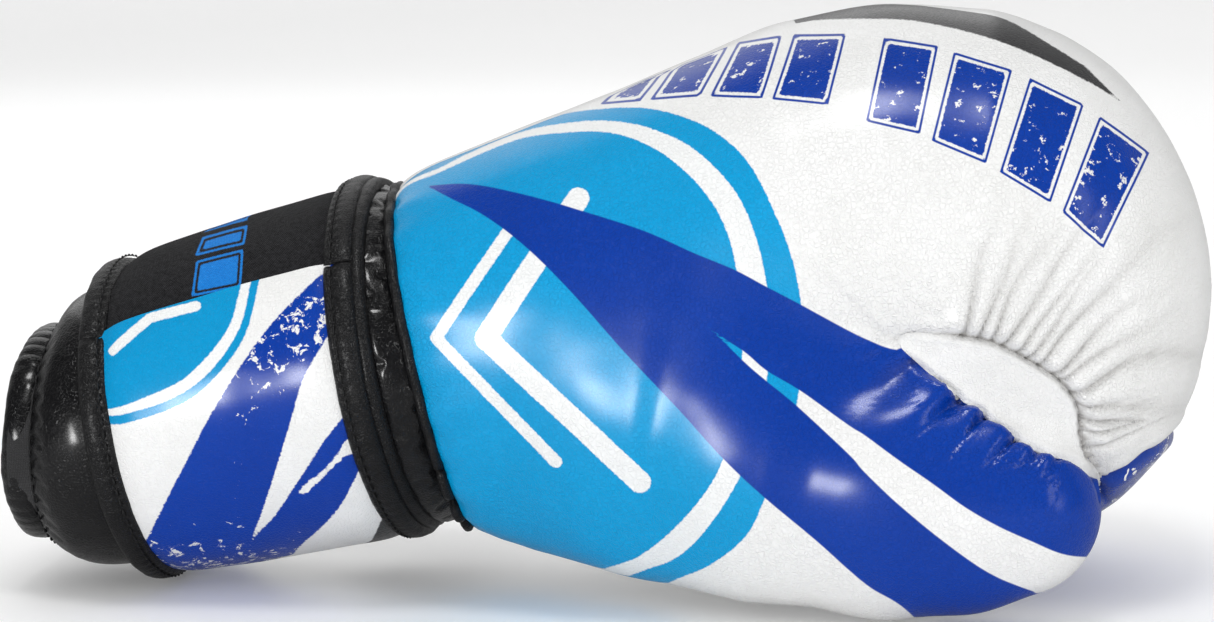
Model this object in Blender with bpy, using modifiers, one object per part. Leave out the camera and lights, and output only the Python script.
"""Left-hand boxing glove with a padded wrap-around cuff, as an assembly of its sewn and moulded pieces.

Frame: metres, +X from the cuff opening towards the fist, +Z up out of the back of the hand,
the thumb on the -Y side. The glove lies palm down, so z = 0 is the plane it rests on.
Dimensions are in millimetres and angles in degrees. "Front" is the +X side and "rear" the -X side.
"""

import math

import bmesh
import bpy
from mathutils import Matrix, Vector

MM = 0.001
ORIGIN = Vector((-2.2, 2.8, -0.9))  # puts the origin under the middle of the glove

# ---------------------------------------------------------------- driving dimensions
SHELL_T = 1.6  # leatherette with its backing
PAD_GAP = 0.6  # play between the shell and the foam under it
PAD_DEPTH = SHELL_T + PAD_GAP
LAYER_1 = 8.0  # depth at which the outer foam layer ends
LAYER_GAP = 0.4
MIDDLE_Z = 104.0  # plane between the middle foam slab and the base foam
PALM_Z = 22.0  # seam height of the palm panels
PALM_Y = -30.0  # the palm panels stop here, beside the thumb
FINGER_X = 72.0  # crease between the palm panel and the finger panel
SEAM_PLAY = 0.4  # between the outer shell and the palm panels
LINING_T = 1.0

WRIST = Vector((-41.0, 0.0, 59.5))  # centre of the mitt's wrist edge
WRIST_TILT = 12.5  # the edge leans back by this
CREASE = Vector((74.0, -28.0, 55.0))  # where the crease between thumb and fist starts
CREASE_PLAY = 0.5  # on each side of the crease
THUMB_LEAN = 10.0  # the thumb points down by this
THUMB_SWING = -9.0  # turn of the thumb base's end face, which leaves room to swing out

AROUND = 20  # corners of each mitt and pocket section
THUMB_AROUND = 14
THUMB_POCKET_AROUND = 10
WRIST_AROUND = 24
SHARP_ANGLE = 38.0  # edges that turn more than this are shaded sharp

# x, top, bottom, half-width, y of the middle, squareness of the section
MITT = [
    (-62.0, 94.0, 26.0, 43.0, 0.0, 2.2),
    (-42.0, 106.0, 19.5, 46.0, 0.0, 2.2),
    (-22.0, 114.2, 13.0, 50.0, 0.5, 2.25),
    (0.0, 122.3, 6.5, 55.0, 1.5, 2.3),
    (24.0, 132.0, 2.4, 60.0, 3.0, 2.4),
    (48.0, 141.2, 3.4, 63.0, 4.0, 2.5),
    (73.0, 144.8, 9.0, 64.0, 4.5, 2.5),
    (96.0, 143.2, 7.0, 64.0, 5.0, 2.5),
    (113.0, 138.0, 11.2, 61.5, 5.0, 2.45),
    (127.0, 129.0, 19.5, 56.0, 5.0, 2.4),
    (138.0, 116.5, 31.0, 46.5, 5.0, 2.3),
    (146.0, 101.5, 45.0, 33.0, 5.0, 2.2),
    (150.3, 86.0, 58.5, 17.0, 5.0, 2.1),
]
MITT_NOSE = (151.6, 5.0, 72.0)
MITT_SOFT = 34.0  # sections with half-sizes under this are drawn in proportionally less
# x, middle height, half-height, half-width of the space for the hand
POCKET = [
    (-60.0, 57.0, 26.0, 31.0),
    (-38.0, 58.0, 25.5, 32.5),
    (-14.0, 56.0, 26.0, 36.5),
    (12.0, 52.5, 26.5, 41.0),
    (36.0, 51.5, 27.5, 43.0),
    (60.0, 50.5, 27.0, 43.0),
    (78.0, 48.0, 24.0, 39.0),
    (90.0, 46.0, 17.0, 31.0),
]
POCKET_NOSE = (97.0, 3.0, 44.0)
POCKET_Y = 1.5
POCKET_SQUARENESS = 2.3
# x, y, z of the middle, half-height across the thumb, half-thickness
THUMB = [
    (-14.0, -22.0, 49.0, 25.0, 18.0),
    (17.6, -35.0, 42.0, 31.0, 23.0),
    (46.0, -43.0, 36.4, 33.0, 26.0),
    (65.0, -47.0, 32.4, 31.6, 26.5),
    (81.5, -49.0, 29.1, 27.8, 25.0),
    (95.7, -50.0, 27.0, 22.6, 22.0),
    (106.4, -50.0, 26.2, 16.4, 17.2),
    (113.5, -50.0, 26.4, 9.6, 11.0),
]
THUMB_NOSE = (117.8, -50.0, 26.9)
THUMB_SOFT = 16.0
NOSE_START_X = 60.0  # sections of mitt and thumb ahead of this move back as they are drawn in
# x, y, z of the middle, half-height of the space for the thumb's end
THUMB_POCKET = [
    (62.0, -61.0, 33.0, 7.5),
    (78.0, -62.5, 29.8, 7.5),
    (90.0, -63.0, 28.0, 6.0),
    (97.0, -63.0, 27.2, 3.0),
]
THUMB_POCKET_FLATNESS = 0.78  # width over height
# x, z outline of the crescent between thumb and fist
CRESCENT = [
    (76.0, 58.0), (84.0, 61.0), (94.0, 57.5),
    (103.0, 51.0), (110.0, 42.0), (113.5, 33.0),
    (106.0, 33.0), (96.0, 38.0), (85.0, 47.0),
]
CRESCENT_Y = (-90.0, -20.0)
# stations of the cuff: x, y, z of the middle, half-height and half-width of the cover,
# the same inside the lining, lean
CUFF = [
    (-50.5, 0.0, 57.2, 38.5, 44.5, 28.0, 36.0, 10.0),
    (-85.0, 2.5, 48.5, 36.4, 42.0, 27.0, 35.0, 9.5),
    (-120.5, 5.0, 39.6, 34.0, 39.5, 26.0, 34.0, 9.0),
    (-127.0, 5.5, 38.6, 33.0, 38.5, 25.6, 33.6, 6.0),
    (-133.0, 5.9, 38.0, 32.0, 37.4, 25.0, 33.0, 2.0),
    (-140.0, 6.4, 37.8, 29.0, 34.6, 24.3, 32.3, -2.0),
    (-144.4, 6.7, 37.8, 28.0, 33.6, 24.0, 32.0, -3.0),
]
CUFF_YAW = 4.0
PHI_STEP = 15.0  # angular grid that all bands round the cuff share
PHI_MARGIN = 2.0  # grid angles this near the end of an arc are left out
SPLIT_PHI = 241.0  # where the cuff is split lengthwise

# strap round the cuff; angles are measured as in cuff_point
STRAP_T = 2.7
STRAP_GAP = 2.4  # strap to cuff, where the hook and loop patches lie
STRAP_OUT = STRAP_GAP + STRAP_T
STRAP_MID = STRAP_GAP + STRAP_T / 2
STRAP_SKIN_T = 1.3
BACKING_DEPTH = 1.6  # strap's outer face to the foam backing
BACKING_T = 1.1
STRAP_FRONT, STRAP_REAR = -50.2, -119.0  # stations of the strap's two edges
BINDING_R = 2.2
EDGE_FRONT, EDGE_REAR = STRAP_FRONT - BINDING_R, STRAP_REAR + BINDING_R
SKIN_INSET = 2 * BINDING_R + 0.4
SKIN_FRONT, SKIN_REAR = STRAP_FRONT - SKIN_INSET, STRAP_REAR + SKIN_INSET
ANCHOR_END = -112.0
ROOT_FOLD, PANEL_FOLD, TIP_FOLD = -60.0, 50.0, 150.0
TIP_END = 234.0
FOLD_PLAY = 0.7  # left at each side of a fold line
# angles from and to
STRAP_SPANS = {
    "anchor": (ANCHOR_END, ROOT_FOLD - FOLD_PLAY),
    "elastic": (ROOT_FOLD + FOLD_PLAY, PANEL_FOLD - FOLD_PLAY),
    "panel": (PANEL_FOLD + FOLD_PLAY, TIP_FOLD - FOLD_PLAY),
    "tip": (TIP_FOLD + FOLD_PLAY, TIP_END - 6.7),
}

# ---------------------------------------------------------------- scene
for old in list(bpy.data.objects):
    bpy.data.objects.remove(old)
glove = bpy.data.collections.new("boxing_glove")
cutters = bpy.data.collections.new("cutters")
bpy.context.scene.collection.children.link(glove)
bpy.context.scene.collection.children.link(cutters)
origin = bpy.data.objects.new("glove_origin", None)
origin.location = ORIGIN * MM
glove.objects.link(origin)


def material(name, colour, roughness):
    made = bpy.data.materials.new(name)
    made.use_nodes = True
    shader = made.node_tree.nodes["Principled BSDF"]
    shader.inputs["Base Color"].default_value = (*colour, 1.0)
    shader.inputs["Roughness"].default_value = roughness
    return made


WHITE = material("white_leatherette", colour=(0.86, 0.86, 0.85), roughness=0.38)
BLUE = material("blue_leatherette", colour=(0.0, 0.07, 0.42), roughness=0.36)
BLACK = material("black_leatherette", colour=(0.012, 0.012, 0.014), roughness=0.34)
BINDING = material("black_binding_tape", colour=(0.02, 0.02, 0.022), roughness=0.5)
ELASTIC = material("black_elastic", colour=(0.025, 0.025, 0.028), roughness=0.85)
FOAM = material("grey_foam", colour=(0.32, 0.33, 0.35), roughness=0.9)
FOAM_SOFT = material("pale_foam", colour=(0.72, 0.70, 0.62), roughness=0.9)
LINING = material("black_lining", colour=(0.03, 0.03, 0.035), roughness=0.8)
HOOK = material("hook_tape", colour=(0.03, 0.03, 0.03), roughness=0.7)
LOOP = material("loop_tape", colour=(0.05, 0.05, 0.05), roughness=0.95)


# ---------------------------------------------------------------- objects and modifiers
def add_piece(name, data, mat):
    piece = bpy.data.objects.new(name, data)
    glove.objects.link(piece)
    data.materials.append(mat)
    piece.parent = origin
    return piece


def add_cutter(name, mesh):
    cutter = bpy.data.objects.new(name, mesh)
    cutters.objects.link(cutter)
    cutter.hide_render = True
    cutter.display_type = "WIRE"
    cutter.parent = origin
    return cutter


def add_boolean(target, label, operation, cutter_name):
    cut = target.modifiers.new(label, "BOOLEAN")
    cut.operation = operation
    cut.object = bpy.data.objects[cutter_name]
    cut.solver = "EXACT"


def add_thickness(target, thickness, offset):
    skin = target.modifiers.new("thickness", "SOLIDIFY")
    skin.thickness = thickness * MM
    skin.offset = offset
    skin.use_even_offset = True


def solid(name, mesh, mat, steps=()):
    """A piece and the cuts that shape it. steps lists (operation, cutter name)."""
    piece = add_piece(name, mesh, mat)
    for i, (operation, cutter_name) in enumerate(steps):
        add_boolean(piece, f"{i}_{operation.lower()}", operation, cutter_name)
    return piece


# ---------------------------------------------------------------- meshes
def mesh_of(name, shape):
    shape.normal_update()
    bmesh.ops.recalc_face_normals(shape, faces=shape.faces)
    mesh = bpy.data.meshes.new(name)
    shape.to_mesh(mesh)
    shape.free()
    return mesh


def loft(name, rings, nose=None, closed=True, caps=True):
    """Skins rings of equal count, given in metres. nose is a point that closes the last ring."""
    shape = bmesh.new()
    rows = [[shape.verts.new(point) for point in ring] for ring in rings]
    count = len(rows[0])
    for row, following in zip(rows, rows[1:]):
        for i in range(count if closed else count - 1):
            j = (i + 1) % count
            shape.faces.new((row[i], row[j], following[j], following[i]))
    if caps:
        shape.faces.new(rows[0])
        if nose is None:
            shape.faces.new(rows[-1])
        else:
            tip = shape.verts.new(nose)
            for i in range(count):
                shape.faces.new((rows[-1][i], rows[-1][(i + 1) % count], tip))
    return mesh_of(name, shape)


def box(name, place):
    """A unit cube about the origin, with each corner moved to where place puts it."""
    shape = bmesh.new()
    bmesh.ops.create_cube(shape, size=1.0)
    for corner in shape.verts:
        corner.co = place(corner.co) * MM
    return mesh_of(name, shape)


def section_turns(count):
    return [2 * math.pi * (k + 0.5) / count for k in range(count)]


def signed_power(value, exponent):
    return math.copysign(abs(value) ** exponent, value)


def squared_ring(x, y, z, half_width, half_height, squareness):
    """A superellipse across X."""
    ring = []
    for turn in section_turns(AROUND):
        ring_y = y + half_width * signed_power(math.sin(turn), 2 / squareness)
        ring_z = z + half_height * signed_power(math.cos(turn), 2 / squareness)
        ring.append((x * MM, ring_y * MM, ring_z * MM))
    return ring


def drawn_in(size, depth, soft):
    return size - depth * min(1.0, size / soft)


def nose_share(x, nose_x):
    """How much of the depth a section moves back by: none at NOSE_START_X, all at the nose."""
    return max(0.0, (x - NOSE_START_X) / (nose_x - NOSE_START_X)) ** 2


def mitt_form(name, depth):
    """The mitt's outer form, depth under its surface. The nose moves back too, so forms nest."""
    rings = []
    for x, top, bottom, half_width, y, squareness in MITT:
        rings.append(
            squared_ring(
                x - depth * nose_share(x, MITT_NOSE[0]),
                y,
                (top + bottom) / 2,
                drawn_in(half_width, depth, MITT_SOFT),
                drawn_in((top - bottom) / 2, depth, MITT_SOFT),
                squareness,
            )
        )
    nose_x, nose_y, nose_z = MITT_NOSE
    return loft(name, rings, nose=((nose_x - depth) * MM, nose_y * MM, nose_z * MM))


def pocket_form(name, grow):
    """The space for the hand, larger by grow."""
    rings = [
        squared_ring(x, POCKET_Y, z, half_width + grow, half_height + grow, POCKET_SQUARENESS)
        for x, z, half_height, half_width in POCKET
    ]
    nose_x, nose_y, nose_z = POCKET_NOSE
    return loft(name, rings, nose=((nose_x + grow) * MM, nose_y * MM, nose_z * MM))


def thumb_form(name, depth):
    """The thumb's outer form, depth under its surface."""
    rings = []
    for here, behind, ahead in zip(THUMB, [THUMB[0], *THUMB], [*THUMB[1:], THUMB_NOSE]):
        x, y, z, half_height, half_thickness = here
        run = Vector((ahead[0] - behind[0], 0, ahead[2] - behind[2])).normalized()
        across = Vector((-run.z, 0, run.x))
        middle = Vector((x, y, z)) - run * depth * nose_share(x, THUMB_NOSE[0])
        high = drawn_in(half_height, depth, THUMB_SOFT)
        thick = drawn_in(half_thickness, depth, THUMB_SOFT)
        ring = []
        for turn in section_turns(THUMB_AROUND):
            side = Vector((0, thick * math.sin(turn), 0))
            ring.append((middle + across * high * math.cos(turn) + side) * MM)
        rings.append(ring)
    return loft(name, rings, nose=(Vector(THUMB_NOSE) - Vector((depth, 0, 0))) * MM)


def thumb_pocket_form(name, grow):
    """The space that the thumb's end goes in, larger by grow."""
    rings = []
    for x, y, z, radius in THUMB_POCKET:
        ring = []
        for k in range(THUMB_POCKET_AROUND):
            turn = 2 * math.pi * k / THUMB_POCKET_AROUND
            ring_y = y + (radius + grow) * THUMB_POCKET_FLATNESS * math.sin(turn)
            ring_z = z + (radius + grow) * math.cos(turn)
            ring.append((x * MM, ring_y * MM, ring_z * MM))
        rings.append(ring)
    return loft(name, rings)


def open_bag(name, form, mat, thickness, step):
    """A thin bag round a space: the grown form less the space itself, then one cut."""
    inside = f"cut_{name}_inside"
    add_cutter(inside, form(inside, 0.0))
    solid(name, form(name, thickness), mat, [("DIFFERENCE", inside), step])


# ---------------------------------------------------------------- cutters
wrist_turn = Matrix.Rotation(math.radians(-WRIST_TILT), 3, "Y")
wrist_axis = wrist_turn @ Vector((1, 0, 0))
wrist_up = wrist_turn @ Vector((0, 0, 1))
thumb_turn = Matrix.Rotation(math.radians(THUMB_LEAN), 3, "Y")
thumb_base_turn = thumb_turn @ Matrix.Rotation(math.radians(THUMB_SWING), 3, "Z")

# block faces well clear of the glove
REAR, FRONT, SIDE, UNDER, TOP = -200, 240, 160, -60, 260
THUMB_UNDER = -120
# name: lower corner, upper corner
ZONES = {
    "cut_palm_zone": ((-120, PALM_Y, -40), (220, SIDE, PALM_Z)),
    "cut_palm_zone_wide": ((-123, PALM_Y - SEAM_PLAY, -43), (223, 163, PALM_Z + SEAM_PLAY)),
    "keep_upper_zone": ((REAR, -SIDE, PALM_Z - 1.2), (FRONT, SIDE, TOP)),
    "keep_lower_zone": ((REAR, PALM_Y + 1.0, UNDER), (FRONT, SIDE, PALM_Z - 1.8)),
    "cut_front_zone": ((FINGER_X - 0.2, -SIDE, UNDER), (FRONT, SIDE, TOP)),
    "cut_back_zone": ((-240, -SIDE, UNDER), (FINGER_X + 0.2, SIDE, TOP)),
    "keep_top_zone": ((REAR, -SIDE, MIDDLE_Z), (FRONT, SIDE, TOP)),
    "cut_top_zone": ((REAR, -SIDE, MIDDLE_Z - LAYER_GAP), (FRONT, SIDE, TOP)),
}
# name, form, depth under the form's surface (growth, for the pockets)
FORM_CUTTERS = [
    ("cut_pocket", pocket_form, LINING_T + 0.9),
    ("cut_shell_inside", mitt_form, SHELL_T),
    ("cut_shell_hollow", mitt_form, SHELL_T),
    ("cut_layer_inside", mitt_form, LAYER_1),
    ("cut_mitt_under", mitt_form, PAD_DEPTH - 0.4),
    ("cut_mitt_near", mitt_form, -0.4),
    ("cut_mitt_clear", mitt_form, -1.5),
    ("cut_mitt_clear_pad", mitt_form, -3.4),
    ("cut_mitt_clear_foam", mitt_form, -3.9),
    ("form_thumb", thumb_form, 0.0),  # the whole thumb, which no piece is cut with
    ("form_thumb_base", thumb_form, 0.0),
    ("cut_thumb_base_inside", thumb_form, SHELL_T),
    ("cut_thumb_inside", thumb_form, SHELL_T),  # also cuts no piece
    ("cut_tip_hollow", thumb_form, SHELL_T),
    ("cut_thumb_pocket", thumb_pocket_form, 1.3),
]


def block(name, low, high, turn=Matrix.Identity(3), about=Vector((0, 0, 0))):
    """A box cutter, turned about a point."""
    size = Vector(high) - Vector(low)
    middle = (Vector(high) + Vector(low)) / 2

    def place(unit):
        point = Vector((unit.x * size.x, unit.y * size.y, unit.z * size.z)) + middle
        return turn @ (point - about) + about

    add_cutter(name, box(name, place))


def build_cutters():
    for name, (low, high) in ZONES.items():
        block(name, low, high)
    # everything behind the wrist edge; the foam ends a little ahead of the shell
    for name, ahead in (("cut_wrist", 0.0), ("cut_wrist_pad", 1.2)):
        block(name, (-241, -120, UNDER), (WRIST.x + ahead, 120, 240), wrist_turn, WRIST)
    # a wedge is left between thumb base and thumb tip; only its front face is square to the thumb
    base_low = (REAR, -SIDE, THUMB_UNDER)
    for name, ahead in (("keep_thumb_base", -CREASE_PLAY), ("keep_thumb_base_far", 1.3)):
        block(name, base_low, (CREASE.x + ahead, SIDE, TOP), thumb_base_turn, CREASE)
    tip_low = (CREASE.x + CREASE_PLAY, -SIDE, THUMB_UNDER)
    block("keep_thumb_tip", tip_low, (300, SIDE, TOP), thumb_turn, CREASE)

    for name, form, depth in FORM_CUTTERS:
        add_cutter(name, form(name, depth))
    rings = [[(x * MM, y * MM, z * MM) for x, z in CRESCENT] for y in CRESCENT_Y]
    add_cutter("keep_crescent", loft("keep_crescent", rings))

    # target, modifier, operation, cutter
    for target, label, operation, cutter_name in (
        ("form_thumb_base", "trim", "INTERSECT", "keep_thumb_base"),
        ("cut_thumb_base_inside", "trim", "INTERSECT", "keep_thumb_base_far"),
        ("cut_shell_hollow", "join", "UNION", "cut_thumb_base_inside"),
        ("cut_tip_hollow", "hollow", "DIFFERENCE", "cut_mitt_clear_pad"),
    ):
        add_boolean(bpy.data.objects[target], label, operation, cutter_name)


# ---------------------------------------------------------------- mitt and thumb
# name, form, depth under its surface, material, cuts in order
FORMED_PIECES = [
    ("outer_shell", mitt_form, 0.0, WHITE, [
        ("UNION", "form_thumb_base"),
        ("DIFFERENCE", "cut_palm_zone_wide"),
        ("DIFFERENCE", "cut_wrist"),
        ("DIFFERENCE", "cut_shell_hollow"),
    ]),
    ("palm_shell", mitt_form, 0.0, WHITE, [
        ("DIFFERENCE", "cut_shell_inside"),
        ("INTERSECT", "cut_palm_zone"),
        ("DIFFERENCE", "cut_front_zone"),
        ("DIFFERENCE", "cut_wrist"),
    ]),
    ("finger_shell", mitt_form, 0.0, BLUE, [
        ("DIFFERENCE", "cut_shell_inside"),
        ("INTERSECT", "cut_palm_zone"),
        ("DIFFERENCE", "cut_back_zone"),
    ]),
    ("foam_outer_layer", mitt_form, PAD_DEPTH, FOAM_SOFT, [
        ("DIFFERENCE", "cut_layer_inside"),
        ("INTERSECT", "keep_upper_zone"),
        ("DIFFERENCE", "cut_wrist_pad"),
    ]),
    ("foam_middle_slab", mitt_form, LAYER_1 + LAYER_GAP, FOAM, [
        ("INTERSECT", "keep_top_zone"),
        ("DIFFERENCE", "cut_wrist_pad"),
    ]),
    ("foam_base_layer", mitt_form, LAYER_1 + LAYER_GAP, FOAM_SOFT, [
        ("INTERSECT", "keep_upper_zone"),
        ("DIFFERENCE", "cut_top_zone"),
        ("DIFFERENCE", "cut_pocket"),
        ("DIFFERENCE", "cut_wrist_pad"),
    ]),
    ("palm_pad", mitt_form, PAD_DEPTH, FOAM, [
        ("INTERSECT", "keep_lower_zone"),
        ("DIFFERENCE", "cut_wrist_pad"),
    ]),
    ("thumb_base_pad", thumb_form, PAD_DEPTH, FOAM, [
        ("INTERSECT", "keep_thumb_base"),
        ("DIFFERENCE", "cut_palm_zone_wide"),
        ("DIFFERENCE", "cut_mitt_under"),
    ]),
    # between thumb and fist: a crescent of the fist's own surface
    ("thumb_gusset", mitt_form, -1.1, WHITE, [
        ("DIFFERENCE", "cut_mitt_near"),
        ("INTERSECT", "keep_crescent"),
    ]),
    ("thumb_shell", thumb_form, 0.0, BLUE, [
        ("DIFFERENCE", "cut_mitt_clear"),
        ("INTERSECT", "keep_thumb_tip"),
    ]),
    ("thumb_pad", thumb_form, SHELL_T + 0.5, FOAM_SOFT, [
        ("DIFFERENCE", "cut_mitt_clear_foam"),
        ("INTERSECT", "keep_thumb_tip"),
        ("DIFFERENCE", "cut_thumb_pocket"),
    ]),
]


def build_mitt_and_thumb():
    for name, form, depth, mat, steps in FORMED_PIECES:
        solid(name, form(name, depth), mat, steps)
    thumb_shell = bpy.data.objects["thumb_shell"]
    add_boolean(thumb_shell, "9_hollow", "DIFFERENCE", "cut_tip_hollow")
    open_bag("hand_lining", pocket_form, LINING, LINING_T, ("DIFFERENCE", "cut_wrist_pad"))
    open_bag("thumb_lining", thumb_pocket_form, LINING, 0.9, ("INTERSECT", "keep_thumb_tip"))


def build_grip_bar():
    """The roll that the fingers close on, across the pocket's floor."""
    radius, length = 6.5 * MM, 48 * MM
    shape = bmesh.new()
    bmesh.ops.create_cone(
        shape, cap_ends=True, segments=12, radius1=radius, radius2=radius, depth=length
    )
    grip = add_piece("grip_bar", mesh_of("grip_bar", shape), FOAM)
    grip.rotation_euler = (math.radians(90), 0, 0)
    grip.location = (60 * MM, 2 * MM, 36.0 * MM)
    round_off = grip.modifiers.new("round_off", "BEVEL")
    round_off.width = 1.5 * MM
    round_off.segments = 1
    round_off.limit_method = "ANGLE"


# ---------------------------------------------------------------- cuff
def station(x):
    """The cuff's table, read at any x; beyond its ends the end pairs are extended."""
    if x >= CUFF[0][0]:
        front, rear = CUFF[:2]
    elif x <= CUFF[-1][0]:
        front, rear = CUFF[-2:]
    else:
        front, rear = next((p, q) for p, q in zip(CUFF, CUFF[1:]) if q[0] <= x <= p[0])
    share = (x - front[0]) / (rear[0] - front[0])
    return [p + share * (q - p) for p, q in zip(front, rear)]


def cuff_point(x, phi, out, inside=False):
    """A point round the cuff at station x, out from the cover, or from the lining's inside.

    phi 0 is the back of the wrist, 90 the thumb side, 180 the palm side.
    """
    row = station(x)
    half_height, half_width = row[5:7] if inside else row[3:5]
    tilt, yaw, turn = math.radians(row[7]), math.radians(CUFF_YAW), math.radians(phi)
    up = Vector((-math.sin(tilt), 0, math.cos(tilt)))
    side = Vector((-math.sin(yaw), -math.cos(yaw), 0))
    return (
        Vector(row[:3])
        + up * (half_height + out) * math.cos(turn)
        + side * (half_width + out) * math.sin(turn)
    )


def arc_angles(start, end):
    """Angles from start to end through the shared grid, so nested arcs have parallel facets."""
    first = math.floor(start / PHI_STEP) + 1
    grid = [k * PHI_STEP for k in range(first, math.ceil(end / PHI_STEP))]
    return [start] + [p for p in grid if start + PHI_MARGIN < p < end - PHI_MARGIN] + [end]


def tube(name, stations, outer, inner, mat, steps=()):
    """A ring between two surfaces of the cuff, each given as (out, inside) for cuff_point."""
    angles = [k * PHI_STEP for k in range(int(360 / PHI_STEP))]
    shape = bmesh.new()
    outer_rows, inner_rows = [
        [
            [shape.verts.new(cuff_point(x, phi, out, inside) * MM) for phi in angles]
            for x in stations
        ]
        for out, inside in (outer, inner)
    ]
    for i in range(len(angles)):
        j = (i + 1) % len(angles)
        for row, following in zip(outer_rows, outer_rows[1:]):
            shape.faces.new((row[i], row[j], following[j], following[i]))
        for row, following in zip(inner_rows, inner_rows[1:]):
            shape.faces.new((row[i], following[i], following[j], row[j]))
        for end in (0, -1):
            rim, bore = outer_rows[end], inner_rows[end]
            shape.faces.new((rim[i], bore[i], bore[j], rim[j]))
    solid(name, mesh_of(name, shape), mat, steps)


def split_box(name, width, low, high, half_length):
    """A box along the cuff's split; low and high are measured out from the cover."""
    middle = cuff_point(-90.0, SPLIT_PHI, 0.0)
    outward = (cuff_point(-90.0, SPLIT_PHI, 10.0) - middle).normalized()
    run = cuff_point(-120.0, SPLIT_PHI, 0.0) - cuff_point(-55.0, SPLIT_PHI, 0.0)
    run = run.normalized()
    side = outward.cross(run).normalized()
    up = run.cross(side).normalized()

    def place(unit):
        return (
            middle
            + run * unit.x * 2 * half_length
            + side * unit.y * width
            + up * (low + (unit.z + 0.5) * (high - low))
        )

    return box(name, place)


def build_cuff():
    body = (-50.5, -68.0, -85.0, -103.0, -120.5, -126.0)
    rim = (-126.5, -128.5, -133.0, -138.0, -139.6)
    lining = (-50.5, -85.0, -120.5, -133.0, -139.6)
    cover, bore = (0.0, False), (0.0, True)
    padding_inside = (1.5, True)
    cut_mesh = split_box("cut_split", width=8.0, low=-22.0, high=8.0, half_length=70.0)
    add_cutter("cut_split", cut_mesh)
    split = [("DIFFERENCE", "cut_split")]
    tube("cuff_cover", body, cover, (-1.2, False), BLACK, split)
    tube("cuff_foam", body, (-1.6, False), padding_inside, FOAM, split)
    tube("cuff_lining", lining, (LINING_T, True), bore, LINING, split)
    tube("rim_roll", rim, cover, padding_inside, BLACK)
    tube("rim_binding", (-140.0, -144.4), cover, bore, BINDING)
    gusset_mesh = split_box("cuff_gusset", width=7.0, low=-6.0, high=-4.8, half_length=34.0)
    add_piece("cuff_gusset", gusset_mesh, ELASTIC)


# ---------------------------------------------------------------- strap
def arc_patch(name, front, rear, span, out, thickness, mat):
    """Part of a band round the cuff, as its outer surface with Solidify inwards."""
    angles = arc_angles(*span)
    stations = (front, front + (rear - front) / 2, rear)
    rings = [[cuff_point(x, phi, out) * MM for phi in angles] for x in stations]
    patch = add_piece(name, loft(name, rings, closed=False, caps=False), mat)
    phi = (angles[0] + angles[1]) / 2
    outward = cuff_point(front, phi, 20.0) - cuff_point(front, phi, 0.0)
    faces_out = patch.data.polygons[0].normal.dot(outward) > 0
    add_thickness(patch, thickness, -1.0 if faces_out else 1.0)


def rope(name, points, radius, closed=False, resolution=2):
    """A bound edge, as a round-bevelled polyline."""
    curve = bpy.data.curves.new(name, "CURVE")
    curve.dimensions = "3D"
    curve.bevel_depth = radius * MM
    curve.bevel_resolution = resolution
    curve.use_fill_caps = not closed
    line = curve.splines.new("POLY")
    line.points.add(len(points) - 1)
    for target, point in zip(line.points, points):
        target.co = (*(point * MM), 1.0)
    line.use_cyclic_u = closed
    add_piece(name, curve, BINDING)


def edge_line(x, start, end):
    return [cuff_point(x, phi, STRAP_MID) for phi in arc_angles(start, end)]


def build_strap():
    # name, span, outer face above the cuff, thickness, material
    backing_out = STRAP_OUT - BACKING_DEPTH
    for name, span, out, thickness, mat in (
        ("strap_anchor", "anchor", STRAP_OUT, STRAP_T, WHITE),
        ("elastic_band", "elastic", STRAP_OUT, STRAP_T - 0.9, ELASTIC),
        ("strap_panel", "panel", STRAP_OUT, STRAP_SKIN_T, WHITE),
        ("strap_panel_backing", "panel", backing_out, BACKING_T, FOAM),
        ("strap_tip", "tip", STRAP_OUT, STRAP_SKIN_T, WHITE),
        ("strap_tip_backing", "tip", backing_out, BACKING_T, FOAM),
    ):
        arc_patch(name, SKIN_FRONT, SKIN_REAR, STRAP_SPANS[span], out, thickness, mat)
    hook_span = (TIP_FOLD + 6.0, TIP_END - 8.0)
    arc_patch(
        "hook_patch", SKIN_FRONT - 6, SKIN_REAR + 6, hook_span, STRAP_GAP - 0.6, 0.6, HOOK
    )
    loop_span = (TIP_FOLD - 6.0, SPLIT_PHI - 10.0)
    arc_patch("loop_patch", SKIN_FRONT - 4, SKIN_REAR + 4, loop_span, 0.9, 0.5, LOOP)

    for part in ("anchor", "elastic", "panel"):
        for edge, x in (("front", EDGE_FRONT), ("rear", EDGE_REAR)):
            rope(f"{part}_binding_{edge}", edge_line(x, *STRAP_SPANS[part]), BINDING_R)

    # the tip's binding goes round its end, with the corners cut off
    tip_start = STRAP_SPANS["tip"][0]
    end_phi = TIP_END - 1.6
    corner_phi, corner_run = end_phi - 5.0, 3.0
    around_end = [
        *edge_line(EDGE_FRONT, tip_start, corner_phi),
        cuff_point(EDGE_FRONT - corner_run, end_phi, STRAP_MID),
        cuff_point(EDGE_REAR + corner_run, end_phi, STRAP_MID),
        *reversed(edge_line(EDGE_REAR, tip_start, corner_phi)),
    ]
    rope("tip_binding", around_end, BINDING_R)


# ---------------------------------------------------------------- wrist
def wrist_ring(back, half_height, half_width):
    """An ellipse parallel to the mitt's wrist edge, back from it."""
    middle = WRIST - wrist_axis * back
    ring = []
    for k in range(WRIST_AROUND):
        turn = 2 * math.pi * k / WRIST_AROUND
        side = Vector((0, -half_width * math.sin(turn), 0))
        ring.append(middle + wrist_up * half_height * math.cos(turn) + side)
    return ring


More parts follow.
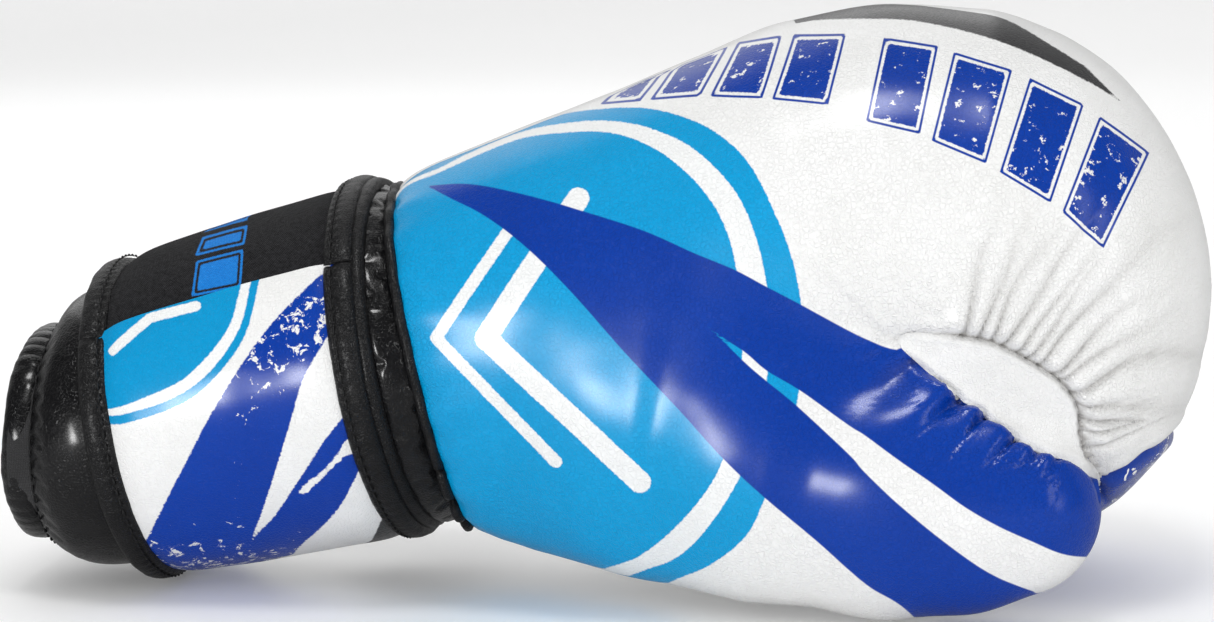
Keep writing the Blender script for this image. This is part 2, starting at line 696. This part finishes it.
def build_wrist():
    """The bound edge of the mitt and the thin sleeve from it to the cuff."""
    edge = wrist_ring(back=1.9, half_height=39.6, half_width=45.2)
    rope("wrist_binding", edge, 1.5, closed=True, resolution=1)

    front = wrist_ring(back=0.5, half_height=36.6, half_width=42.4)
    rear = [cuff_point(-49.8, 360.0 * k / WRIST_AROUND, -2.2) for k in range(WRIST_AROUND)]
    rings = [[p.lerp(q, share) * MM for p, q in zip(front, rear)] for share in (0.0, 0.5, 1.0)]
    sleeve = add_piece("neck_sleeve", loft("neck_sleeve", rings, caps=False), BLACK)
    add_thickness(sleeve, 1.2, -1.0)


# ---------------------------------------------------------------- joints
def fold_line(phi):
    """The strap's fold line at an angle: its middle, and its direction from front to rear."""
    out = STRAP_MID + BINDING_R  # the strap folds at its outer face
    front, rear = cuff_point(STRAP_FRONT, phi, out), cuff_point(STRAP_REAR, phi, out)
    return (front + rear) / 2, (rear - front).normalized()


# joint, the joint that carries it, (point, axis), pieces that turn about it
JOINTS = [
    (
        "wrist_flex", None, (WRIST + wrist_up * 41.5 - wrist_axis * 3.0, Vector((0, 1, 0))),
        (
            "cuff_cover", "cuff_foam", "cuff_lining", "cuff_gusset", "rim_roll", "rim_binding",
            "loop_patch", "strap_anchor", "anchor_binding_front", "anchor_binding_rear",
            "neck_sleeve",
        ),
    ),
    (
        "thumb_flex", None, (CREASE, -(thumb_turn @ Vector((0, 0, 1)))),
        ("thumb_shell", "thumb_pad", "thumb_lining"),
    ),
    (
        "strap_open", "wrist_flex", fold_line(ROOT_FOLD),
        ("elastic_band", "elastic_binding_front", "elastic_binding_rear"),
    ),
    (
        "strap_panel_open", "strap_open", fold_line(PANEL_FOLD),
        ("strap_panel", "strap_panel_backing", "panel_binding_front", "panel_binding_rear"),
    ),
    (
        "strap_tip_open", "strap_panel_open", fold_line(TIP_FOLD),
        ("strap_tip", "strap_tip_backing", "hook_patch", "tip_binding"),
    ),
]


def build_joints():
    """An empty on each axis, its Z along the axis, with its pieces parented in place."""
    bpy.context.view_layer.update()
    for joint, carrier, (point, axis), riders in JOINTS:
        pivot = bpy.data.objects.new(f"pivot_{joint}", None)
        glove.objects.link(pivot)
        pivot.parent = bpy.data.objects[f"pivot_{carrier}"] if carrier else origin
        # the pivot is placed in the glove's frame, whatever its parent
        parent_in_glove = origin.matrix_world.inverted() @ pivot.parent.matrix_world
        pivot.matrix_parent_inverse = parent_in_glove.inverted()
        turn = axis.to_track_quat("Z", "Y").to_matrix().to_4x4()
        pivot.matrix_basis = Matrix.Translation(point * MM) @ turn
        bpy.context.view_layer.update()
        for rider in riders:
            piece = bpy.data.objects[rider]
            rest = piece.matrix_world.copy()
            piece.parent = pivot
            piece.matrix_parent_inverse = pivot.matrix_world.inverted()
            piece.matrix_basis = rest


def shade_pieces():
    """Smooth shading with sharp creases, on all meshes but plain boxes."""
    for piece in glove.objects:
        if piece.type == "MESH" and len(piece.data.polygons) > 6:
            piece.data.shade_smooth()
            piece.data.set_sharp_from_angle(angle=math.radians(SHARP_ANGLE))


build_cutters()
build_mitt_and_thumb()
build_grip_bar()
build_cuff()
build_strap()
build_wrist()
build_joints()
shade_pieces()
bpy.context.view_layer.update()
